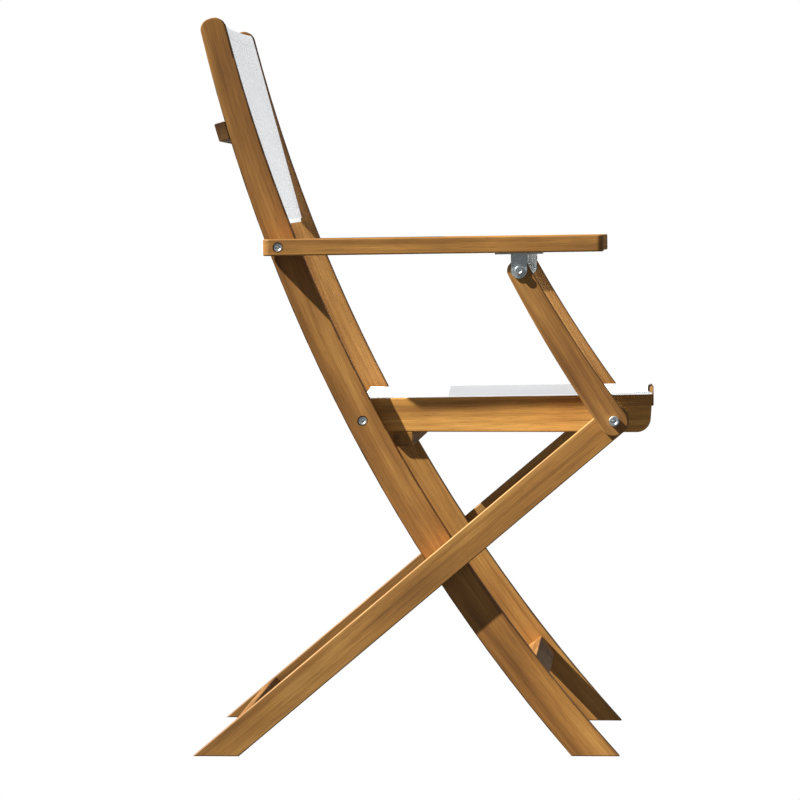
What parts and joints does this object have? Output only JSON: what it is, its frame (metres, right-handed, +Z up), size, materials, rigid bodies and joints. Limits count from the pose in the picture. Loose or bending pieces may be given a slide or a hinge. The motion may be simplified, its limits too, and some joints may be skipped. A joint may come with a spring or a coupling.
{
  "type": "folding director chair",
  "caption": "Folding wooden director chair with armrests, and sheet fabric for its seat and back.",
  "frame": {"origin": "on the floor, under the middle of the open chair", "axes": "+X to the front of the chair, +Y to the occupant's left, +Z up"},
  "size_m": [0.5489, 0.576, 0.8809],
  "materials": {
    "acacia_wood": "oiled hardwood with rounded edges",
    "dowel_wood": "plain beech dowel",
    "white_fabric": "coated woven sheet",
    "white_plastic": "plain moulded plastic",
    "clear_plastic": "thin grey nylon",
    "zinc_steel": "zinc plated"
  },
  "bodies": {
    "frame": {"stile_right": "acacia_wood", "stile_left": "acacia_wood", "back_crossbar": "acacia_wood", "back_crossbar_screws": "zinc_steel", "back_fabric": "white_fabric", "back_fabric_cords": "white_plastic", "front_foot_crossbar": "acacia_wood", "front_foot_dowels": "dowel_wood", "guide_pins": "zinc_steel", "arm_pivot_bolts": "zinc_steel", "arm_pivot_inserts": "zinc_steel", "arm_pivot_washers": "clear_plastic"},
    "seat": {"seat_rail_right": "acacia_wood", "seat_rail_left": "acacia_wood", "seat_front_bar": "acacia_wood", "seat_front_bar_dowels": "dowel_wood", "seat_rear_bar": "acacia_wood", "seat_rear_bar_screws": "zinc_steel", "seat_fabric": "white_fabric", "seat_fabric_cords": "white_plastic", "front_pivot_bolts": "zinc_steel", "front_pivot_inserts": "zinc_steel", "front_pivot_spacers": "zinc_steel", "front_pivot_washers": "clear_plastic", "rear_pivot_bolts": "zinc_steel", "rear_pivot_inserts": "zinc_steel", "rear_pivot_washers": "clear_plastic"},
    "legs": {"leg_right": "acacia_wood", "leg_left": "acacia_wood", "rear_foot_crossbar": "acacia_wood", "rear_foot_dowels": "dowel_wood"},
    "guides": {"guide_shoes": "white_plastic"},
    "arm_right": {"armrest_right": "acacia_wood", "arm_bracket_right": "zinc_steel", "bracket_screws_right": "zinc_steel", "bracket_bolt_right": "zinc_steel", "bracket_nut_right": "zinc_steel"},
    "support_right": {"arm_support_right": "acacia_wood"},
    "arm_left": {"armrest_left": "acacia_wood", "arm_bracket_left": "zinc_steel", "bracket_screws_left": "zinc_steel", "bracket_bolt_left": "zinc_steel", "bracket_nut_left": "zinc_steel"},
    "support_left": {"arm_support_left": "acacia_wood"}
  },
  "joints": [
    {"name": "seat_fold", "type": "hinge", "parent": "frame", "child": "seat", "pos_m": [-0.0735, 0, 0.4], "axis": [0, -1, 0], "range_deg": [0, 100]},
    {"name": "legs_fold", "type": "hinge", "parent": "seat", "child": "legs", "pos_m": [0.2268, 0, 0.4019], "axis": [0, -1, 0], "range_deg": [-32.31, 0]},
    {"name": "guide_slide", "type": "slide", "parent": "legs", "child": "guides", "axis": [-0.7632, 0, -0.6461], "range_m": [0, 0.2263]},
    {"name": "arm_fold_right", "type": "hinge", "parent": "frame", "child": "arm_right", "pos_m": [-0.171, 0, 0.607], "axis": [0, -1, 0], "range_deg": [0, 105.29]},
    {"name": "support_fold_right", "type": "hinge", "parent": "seat", "child": "support_right", "pos_m": [0.2268, 0, 0.4019], "axis": [0, -1, 0], "range_deg": [-109.17, 0]},
    {"name": "arm_fold_left", "type": "hinge", "parent": "frame", "child": "arm_left", "pos_m": [-0.171, 0, 0.607], "axis": [0, -1, 0], "range_deg": [0, 105.29]},
    {"name": "support_fold_left", "type": "hinge", "parent": "seat", "child": "support_left", "pos_m": [0.2268, 0, 0.4019], "axis": [0, -1, 0], "range_deg": [-109.17, 0]}
  ],
  "couplings": [
    {"joint": "legs_fold", "follows": "seat_fold", "ratio": -0.3181},
    {"joint": "guide_slide", "follows": "seat_fold", "m_per_rad": 0.1294},
    {"joint": "arm_fold_right", "follows": "seat_fold", "ratio": 1.0479},
    {"joint": "support_fold_right", "follows": "seat_fold", "ratio": -1.0867},
    {"joint": "arm_fold_left", "follows": "seat_fold", "ratio": 1.0479},
    {"joint": "support_fold_left", "follows": "seat_fold", "ratio": -1.0867}
  ]
}
